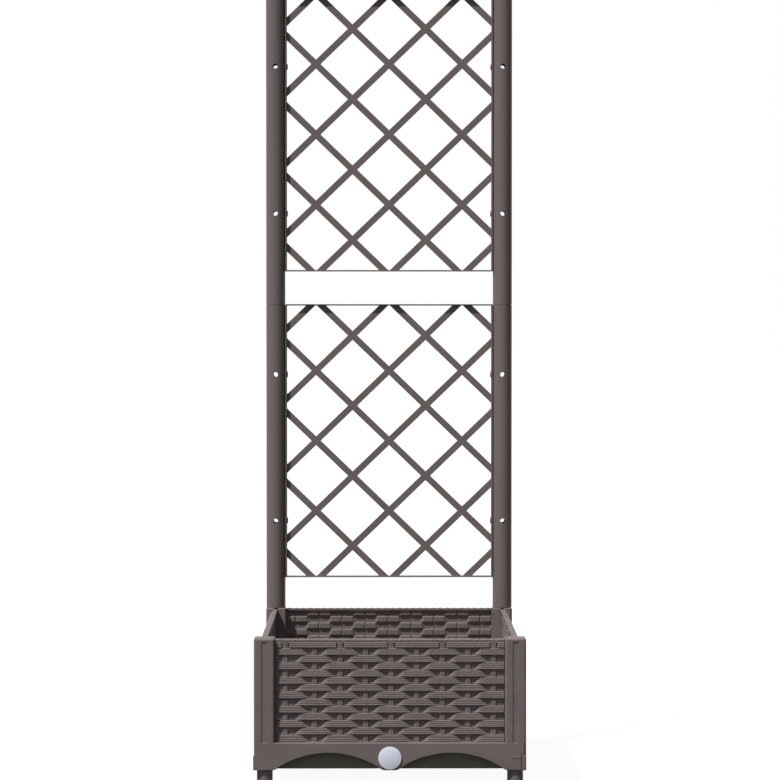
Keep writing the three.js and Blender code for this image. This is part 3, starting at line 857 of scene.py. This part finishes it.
def skirt(name, turn):
    skin = Skin()
    inner = HALF - SKIRT_WALL
    lower_end = HALF - LUG_REACH - GAP
    left = -HALF + mm(1)
    outline = [(left, SKIRT_BOTTOM)] + skirt_edge() + [
        (lower_end, SKIRT_BOTTOM),
        (lower_end, LUG_TOP + GAP),
        (inner - GAP, LUG_TOP + GAP),
        (inner - GAP, SKIRT_TOP),
        (left, SKIRT_TOP),
    ]
    skin.slab([outline], (0, SKIRT_WALL), SKIRT_ROUNDS, standing(0, -inner, 0), 4)
    if name == "front":
        place = standing(0, -HALF, DRAIN_HEIGHT)
        skin = carved(skin, [rod(NECK_HOLE, -2 * SKIRT_WALL, SKIRT_WALL + OVERCUT, place)])
    # The left end is rounded into the corner.
    end = arc((-HALF + CORNER_RADIUS, -HALF + CORNER_RADIUS), CORNER_RADIUS, 270, 189, 7)
    end += [(-HALF, -inner), (-HALF + CORNER_RADIUS, -inner)]
    skin.slab([end], (SKIRT_BOTTOM, SKIRT_TOP), mm(0.6, 1))
    # The lug at its foot wraps on to the next side.
    centre = -HALF - LUG_OUT + CORNER_RADIUS
    start = 180 + math.degrees(math.asin((centre + HALF) / CORNER_RADIUS))
    lug = arc((centre, centre), CORNER_RADIUS, start, 180, 5)
    lug += [(-HALF - LUG_OUT, -HALF + LUG_REACH), (-inner, -HALF + LUG_REACH), (-inner, -HALF)]
    skin.slab([lug], (SKIRT_BOTTOM, LUG_TOP), mm(1.3, 1.1), steps=4)
    for depth, top in ((SKIRT_BAND, SKIRT_TOP), (LEDGE_DEPTH, LEDGE_TOP)):
        shelf = rectangle(-BAND_REACH, BAND_REACH, -inner - EMBED, -inner + depth)
        skin.slab([shelf], (SKIRT_TOP - BAND_HEIGHT, top), mm(0.4, 0.4))
    lip_end = lower_end - mm(0.7)
    lip = rectangle(lip_end - LIP_LENGTH, lip_end, *LIP_SPAN)
    skin.slab([lip], (0, EMBED + mm(0.6)), mm(0, 0.4), standing(0, -HALF + EMBED, 0))
    piece(f"apron_{name}", skin, f"skirt_{name}", quarter(turn), 30)


for turn, name in enumerate(SIDES):
    skirt(name, turn)

# ------------------------------------------------------------------ water tray and floor plate

TRAY_OUTER = HALF - mm(14)
TRAY_WALL = mm(3)
TRAY_NOTCH = SHANK_INNER - mm(1.3)
FLANGE_OUTER = HALF - SKIRT_WALL - SKIRT_BAND - mm(0.5)
FLANGE_THICKNESS = mm(3.2)
DRAIN_BOSS = mm(7.5)
BOSS_RADIUS = mm(12)
BOSS_BORE = mm(7.4)
HOLE_PITCH = mm(62)
HOLE_RADIUS = mm(5.5)
LEG_RADII = mm(9, 13)                 # at its foot and under the plate


def notched(reach, notch):
    """A square whose corners are cut out for the posts."""
    side = [(reach, -notch), (reach, notch), (notch, notch)]
    return [
        tuple((quarter(turn) @ Vector((*point, 0))).xy) for turn in range(4) for point in side
    ]


def reservoir_tray():
    inner, inner_notch = TRAY_OUTER - TRAY_WALL, TRAY_NOTCH - TRAY_WALL
    floor_top = SKIRT_BOTTOM + TRAY_WALL
    outlines = [notched(TRAY_OUTER, TRAY_NOTCH), notched(inner, inner_notch)]
    walls = Skin().slab(outlines, (SKIRT_BOTTOM, SKIRT_TOP), mm(1.2, 0.5))
    buried = mm(1)                    # the part of the boss that lies in the wall
    length = DRAIN_BOSS + buried
    profile = [(0, 0), (BOSS_RADIUS, 0), (BOSS_RADIUS, length), (0, length)]
    place = standing(0, -TRAY_OUTER + buried, DRAIN_HEIGHT)
    boss = turned(profile, mm(0.8), place)
    bore = rod(BOSS_BORE, -mm(5), length + OVERCUT, place)
    skin = carved(walls, [bore]).take(carved(boss, [bore]))
    bottom = notched(inner + mm(0.8), inner_notch + mm(0.8))
    skin.slab([bottom], (SKIRT_BOTTOM, floor_top))
    flange = rectangle(-inner_notch, inner_notch, -FLANGE_OUTER, -inner)
    for turn in range(4):
        span = (SKIRT_TOP - FLANGE_THICKNESS, SKIRT_TOP)
        skin.slab([flange], span, mm(0.6, 0.6), quarter(turn))
    piece("water_tray", skin, "reservoir_tray", crease=35)


def floor_plate():
    outline = notched(PLATE_HIGH.x, POST_INNER - mm(0.5))
    places = [HOLE_PITCH * step for step in (-1.5, -0.5, 0.5, 1.5)]
    holes = [circle((x, y), HOLE_RADIUS, 32) for x in places for y in places]
    skin = Skin()
    skin.slab([outline] + holes, (PANEL_BOTTOM, PLATE_HIGH.z), mm(0.3, 0.8))
    foot_radius, head_radius = LEG_RADII
    leg_top = PANEL_BOTTOM + mm(1)
    leg = rounded([
        (AXIS, PLATE_LOW.z), (foot_radius, PLATE_LOW.z), (head_radius, leg_top), (AXIS, leg_top),
    ], mm(1.2))
    for x in (-2 * HOLE_PITCH, 2 * HOLE_PITCH):
        for y in (-2 * HOLE_PITCH, 2 * HOLE_PITCH):
            skin.loft(lathe(leg, 48), closed=True, place=upright(x, y))
    piece("drilled_plate", skin, "floor_plate", crease=35)


reservoir_tray()
floor_plate()

# ------------------------------------------------------------------ trellis tubes

TIE_HOLE = mm(4)
RIVET_HEAD = mm(5.5)                  # radius of the head where it meets the frame
RIVET_DOME = mm(4.2)                  # and of its face
RIVET_HEAD_HEIGHT = mm(1.9)
RIVET_SHANK = mm(3)
FITTING_RADIUS = TUBE_BORE - GAP      # of what stands inside a tube
FITTING_WALL = mm(2.2)
TUBE_SEAT = POST_TOP + GAP            # where the lower tubes stand on their plugs


def middle_of(node):
    low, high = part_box(node)
    return (low + high) / 2


def trellis_tube(node, rivet_heights):
    low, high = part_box(node)
    x = (low.x + high.x) / 2
    bottom = max(low.z, TUBE_SEAT)
    profile = rounded([
        (TUBE_BORE, bottom), (TUBE_RADIUS, bottom), (TUBE_RADIUS, high.z), (TUBE_BORE, high.z),
    ], mm(0.5), 2)
    skin = Skin().loft(lathe(profile, 96), closed=True, place=upright(x, POST_AXIS))
    holes = [
        rod(TIE_HOLE, -mm(18), mm(18), standing(x, POST_AXIS, height), 32)
        for height in rivet_heights
    ]
    piece(f"round_{node}", carved(skin, holes), node, crease=40)


def rivet(node, inward):
    """A push-in rivet: a domed head and a shank that points away from the middle."""
    low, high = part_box(node)
    place = middle_of(node)
    head_face = low.x if inward < 0 else high.x
    length = high.x - low.x
    profile = [
        (0, 0), (RIVET_DOME, 0), (RIVET_HEAD, RIVET_HEAD_HEIGHT),
        (RIVET_SHANK, RIVET_HEAD_HEIGHT), (RIVET_SHANK, length), (0, length),
    ]
    towards = Matrix.Rotation(-inward * math.pi / 2, 4, "Y")
    skin = turned(profile, mm(0.7), Matrix.Translation((head_face, place.y, place.z)) @ towards)
    piece(f"domed_{node}", skin, node, crease=45)


for level in ("lower", "upper"):
    for side, inward in (("left", 1), ("right", -1)):
        rivets = [f"lattice_rivet_{level}_{side}_{index}" for index in (1, 2)]
        trellis_tube(f"trellis_tube_{level}_{side}", [middle_of(node).z for node in rivets])
        for node in rivets:
            rivet(node, inward)


def sleeve(low, high, edge, place):
    """A short tube that fits inside the trellis tubes."""
    inner = FITTING_RADIUS - FITTING_WALL
    profile = [(inner, low), (FITTING_RADIUS, low), (FITTING_RADIUS, high), (inner, high)]
    return Skin().loft(lathe(rounded(profile, edge)), closed=True, place=place)


def hidden_fittings(side):
    """The plug between post and tube, and the joiner between the two tubes."""
    low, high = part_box(f"post_plug_{side}")
    place = upright((low.x + high.x) / 2, POST_AXIS)
    outer, inner = FITTING_RADIUS, FITTING_RADIUS - FITTING_WALL
    floor_top = TUBE_SEAT + 2 * FITTING_WALL
    profile = [
        (0, low.z), (PIN_RADIUS, low.z), (PIN_RADIUS, TUBE_SEAT), (outer, TUBE_SEAT),
        (outer, high.z), (inner, high.z), (inner, floor_top), (0, floor_top),
    ]
    piece(f"turned_plug_{side}", turned(profile, mm(0.6), place), f"post_plug_{side}")
    low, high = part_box(f"tube_joiner_{side}")
    piece(f"turned_joiner_{side}", sleeve(low.z, high.z, mm(0.6), place), f"tube_joiner_{side}")


for side in ("left", "right"):
    hidden_fittings(side)


def arch():
    """The bent tube at the top, with a spigot on each end."""
    low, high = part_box("trellis_arch")
    base = high.z - HALF
    steps, sides = 96, 64
    rings = []
    for step in range(steps + 1):
        angle = math.pi * step / steps
        across = Vector((-math.cos(angle), 0, math.sin(angle)))
        centre = Vector((0, POST_AXIS, base)) + across * POST_AXIS
        rings.append([
            centre
            + across * (TUBE_RADIUS * math.cos(2 * math.pi * side / sides))
            + Vector((0, TUBE_RADIUS * math.sin(2 * math.pi * side / sides), 0))
            for side in range(sides)
        ])
    skin = Skin().loft(rings)
    for x in (-POST_AXIS, POST_AXIS):
        skin.take(sleeve(low.z, base + mm(1), mm(0.5), upright(x, POST_AXIS)))
    piece("bent_arch", skin, "trellis_arch", crease=40)


arch()

# ------------------------------------------------------------------ lattice panels

STRIP_WIDTH = mm(10.4)
STRIP_THICKNESS = mm(3)
CELL_WIDTH = mm(118.9)
CELL_HEIGHT = mm(114.4)
FRAME_WALL = mm(1.8)
BAR_WALL = mm(1.6)
LATTICE_EDGES = mm(0.3, 0.3)
HOLE_MARGIN = mm(0.7)                 # from a hole to the frame
NET_INSET = mm(0.4)                   # how far the strips run into the frame
SMALLEST_HOLE = mm(3) ** 2
# How far each panel stands above its node, as the photograph has it
LATTICE_RISE = {"lower": mm(1.0), "upper": -mm(0.6)}


def area_of(outline):
    return abs(sum(
        a[0] * b[1] - b[0] * a[1] for a, b in zip(outline, outline[1:] + outline[:1])
    )) / 2


def clipped(outline, limits):
    """A convex outline cut to a rectangle (x0, x1, y0, y1)."""
    x0, x1, y0, y1 = limits
    for axis, bound, sign in ((0, x0, 1), (0, x1, -1), (1, y0, 1), (1, y1, -1)):
        kept = []
        for index, here in enumerate(outline):
            before = outline[index - 1]
            inside = sign * (here[axis] - bound) >= 0
            if inside != (sign * (before[axis] - bound) >= 0):
                t = (bound - before[axis]) / (here[axis] - before[axis])
                kept.append(tuple(b + (h - b) * t for b, h in zip(before, here)))
            if inside:
                kept.append(here)
        outline = kept
    return outline


def lattice(level):
    node = f"lattice_panel_{level}"
    low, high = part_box(node)
    middle = (low.z + high.z) / 2 + LATTICE_RISE[level]
    half_width = high.x - FRAME_WALL
    half_height = (high.z - low.z) / 2 - BAR_WALL
    slope = math.hypot(CELL_WIDTH, CELL_HEIGHT)
    # A diamond's half-diagonals, less what the strips around it take off them.
    reach_x = CELL_WIDTH / 2 - STRIP_WIDTH / 2 * slope / CELL_HEIGHT
    reach_y = CELL_HEIGHT / 2 - STRIP_WIDTH / 2 * slope / CELL_WIDTH
    x_limit, y_limit = half_width - HOLE_MARGIN, half_height - HOLE_MARGIN
    holes = []
    for column in range(-4, 5):
        for row in range(-5, 6):
            if (column + row) % 2 == 0:
                continue
            x, y = column * CELL_WIDTH / 2, row * CELL_HEIGHT / 2
            diamond = [(x + reach_x, y), (x, y + reach_y), (x - reach_x, y), (x, y - reach_y)]
            hole = clipped(diamond, (-x_limit, x_limit, -y_limit, y_limit))
            if len(hole) > 2 and area_of(hole) > SMALLEST_HOLE:
                holes.append(hole)
    skin = Skin()
    x_net, y_net = half_width + NET_INSET, half_height + NET_INSET
    skin.slab(
        [rectangle(-x_net, x_net, -y_net, y_net)] + holes,
        (0, STRIP_THICKNESS), LATTICE_EDGES,
        standing(0, POST_AXIS + STRIP_THICKNESS / 2, middle), 2,
    )
    x_out, y_out = half_width + FRAME_WALL, half_height + BAR_WALL
    skin.slab(
        [rectangle(-x_out, x_out, -y_out, y_out),
         rectangle(-half_width, half_width, -half_height, half_height)],
        (0, high.y - low.y), LATTICE_EDGES, standing(0, high.y, middle), 2,
    )
    piece(f"framed_{node}", skin, node, crease=30)


lattice("lower")
lattice("upper")

# ------------------------------------------------------------------ drain

NECK_RADIUS = mm(9.5)
STEM_RADIUS = mm(6.9)
CAP_THICKNESS = mm(3)
NECK_END = mm(7.4)                    # behind the face of the cap
DOME_STEPS = 8


def drain():
    low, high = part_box("drain_plug")
    radius, length = (high.x - low.x) / 2, high.y - low.y
    profile = [
        (0, -length), (STEM_RADIUS, -length), (STEM_RADIUS, -NECK_END), (NECK_RADIUS, -NECK_END),
        (NECK_RADIUS, -CAP_THICKNESS), (radius, -CAP_THICKNESS),
    ]
    for step in range(DOME_STEPS + 1):
        share = 1 - step / DOME_STEPS
        profile.append((radius * share, -CAP_THICKNESS / 2 * share ** 2))
    place = standing(0, low.y, DRAIN_HEIGHT)
    piece("drain_cap", turned(profile, mm(0.9), place), "drain_plug", crease=40)
    low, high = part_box("drain_seal")
    inner, thickness = STEM_RADIUS + GAP, high.y - low.y
    washer = rounded([
        (inner, 0), (NECK_RADIUS, 0), (NECK_RADIUS, thickness), (inner, thickness),
    ], mm(0.5))
    skin = Skin().loft(lathe(washer), closed=True, place=standing(0, high.y, DRAIN_HEIGHT))
    piece("round_seal", skin, "drain_seal")


drain()

# ------------------------------------------------------------------ camera, light and floor

FRAME_SIZE = 780                      # pixels across the photograph
SENSOR = 36.0
FOCAL_PIXELS = 2298.9
CAMERA_PLACE = (-0.01293, -3.56237, 0.69001)
CAMERA_TURN = 0.2205                  # degrees to the right
CAMERA_TILT = 1.0099                  # degrees down
SHIFT_Y = -0.03

# Each lamp: degrees from the front to the right, degrees up, strength, degrees across, and
# whether it shows in glossy surfaces
LAMPS = {
    "key": (-50.0, 58.0, 4.95, 4.0, True),
    "back": (180.0, 12.0, 0.9, 20.0, False),
    "fill": (-10.0, 20.0, 0.45, 70.0, False),
    "side": (140.0, 0.5, 1.8, 5.0, False),
}
SKY = (0.95, 0.97, 1.0, 1)
SKY_STRENGTH = 0.13
GROUND = (0.07, 0.07, 0.068, 1)       # the floor, as the object is lit by it
FLOOR_REACH = 60.0
FLOOR_PAINT = 0.12                    # what lets the shadow show
FLOOR_GLOW = 0.94
WHITE = (1, 1, 1, 1)


def camera():
    data = bpy.data.cameras.new("camera")
    data.sensor_width = SENSOR
    data.lens = FOCAL_PIXELS / FRAME_SIZE * SENSOR
    data.shift_y = SHIFT_Y
    data.clip_end = 100
    made = bpy.data.objects.new("camera", data)
    made.location = CAMERA_PLACE
    made.rotation_euler = (math.radians(90 - CAMERA_TILT), 0, math.radians(-CAMERA_TURN))
    bpy.context.scene.collection.objects.link(made)
    bpy.context.scene.camera = made


def sun(name, azimuth, elevation, strength, angle, glints):
    """Even light from one direction, with shadows as soft as its angle across."""
    a, e = math.radians(azimuth), math.radians(elevation)
    direction = Vector((math.sin(a) * math.cos(e), -math.cos(a) * math.cos(e), math.sin(e)))
    data = bpy.data.lights.new(name, "SUN")
    data.energy = strength
    data.angle = math.radians(angle)
    made = bpy.data.objects.new(name, data)
    made.location = direction * 5
    made.rotation_euler = (-direction).to_track_quat("-Z", "Y").to_euler()
    made.visible_glossy = glints
    bpy.context.scene.collection.objects.link(made)


def seen_directly(tree):
    """1 where the camera, a reflection or a transmission looks, and 0 for the rest."""
    rays = tree.nodes.new("ShaderNodeLightPath")
    seen = rays.outputs["Is Camera Ray"]
    for other in ("Is Glossy Ray", "Is Transmission Ray"):
        either = tree.nodes.new("ShaderNodeMath")
        either.operation = "MAXIMUM"
        tree.links.new(seen, either.inputs[0])
        tree.links.new(rays.outputs[other], either.inputs[1])
        seen = either.outputs["Value"]
    return seen


def mixed_shader(tree, share, first, second):
    mix = tree.nodes.new("ShaderNodeMixShader")
    tree.links.new(share, mix.inputs["Fac"])
    tree.links.new(first, mix.inputs[1])
    tree.links.new(second, mix.inputs[2])
    return mix.outputs["Shader"]


def world():
    made = bpy.data.worlds.new("studio")
    made.use_nodes = True
    tree = made.node_tree
    sky = tree.nodes["Background"]
    sky.inputs["Color"].default_value = SKY
    sky.inputs["Strength"].default_value = SKY_STRENGTH
    white = tree.nodes.new("ShaderNodeBackground")
    white.inputs["Color"].default_value = WHITE
    white.inputs["Strength"].default_value = 1.0
    shader = mixed_shader(
        tree, seen_directly(tree), sky.outputs["Background"], white.outputs["Background"],
    )
    tree.links.new(shader, tree.nodes["World Output"].inputs["Surface"])
    bpy.context.scene.world = made


def floor():
    """A pale floor that shows a faint shadow, and throws little light back up."""
    corners = rectangle(-FLOOR_REACH, FLOOR_REACH, -FLOOR_REACH, FLOOR_REACH)
    skin = Skin().add([(*corner, 0) for corner in corners], [(0, 1, 2, 3)])
    made = bpy.data.objects.new("floor", skin.mesh("floor"))
    material = bpy.data.materials.new("pale_floor")
    material.use_nodes = True
    tree = material.node_tree
    paint = tree.nodes.new("ShaderNodeBsdfDiffuse")
    paint.inputs["Color"].default_value = (FLOOR_PAINT, FLOOR_PAINT, FLOOR_PAINT, 1)
    glow = tree.nodes.new("ShaderNodeEmission")
    glow.inputs["Color"].default_value = WHITE
    glow.inputs["Strength"].default_value = FLOOR_GLOW
    both = tree.nodes.new("ShaderNodeAddShader")
    tree.links.new(paint.outputs["BSDF"], both.inputs[0])
    tree.links.new(glow.outputs["Emission"], both.inputs[1])
    dull = tree.nodes.new("ShaderNodeBsdfDiffuse")
    dull.inputs["Color"].default_value = GROUND
    shader = mixed_shader(
        tree, seen_directly(tree), dull.outputs["BSDF"], both.outputs["Shader"],
    )
    tree.links.new(shader, tree.nodes["Material Output"].inputs["Surface"])
    made.data.materials.append(material)
    bpy.context.scene.collection.objects.link(made)


camera()
for name, settings in LAMPS.items():
    sun(name, *settings)
world()
floor()
bpy.context.scene.view_settings.view_transform = "Standard"
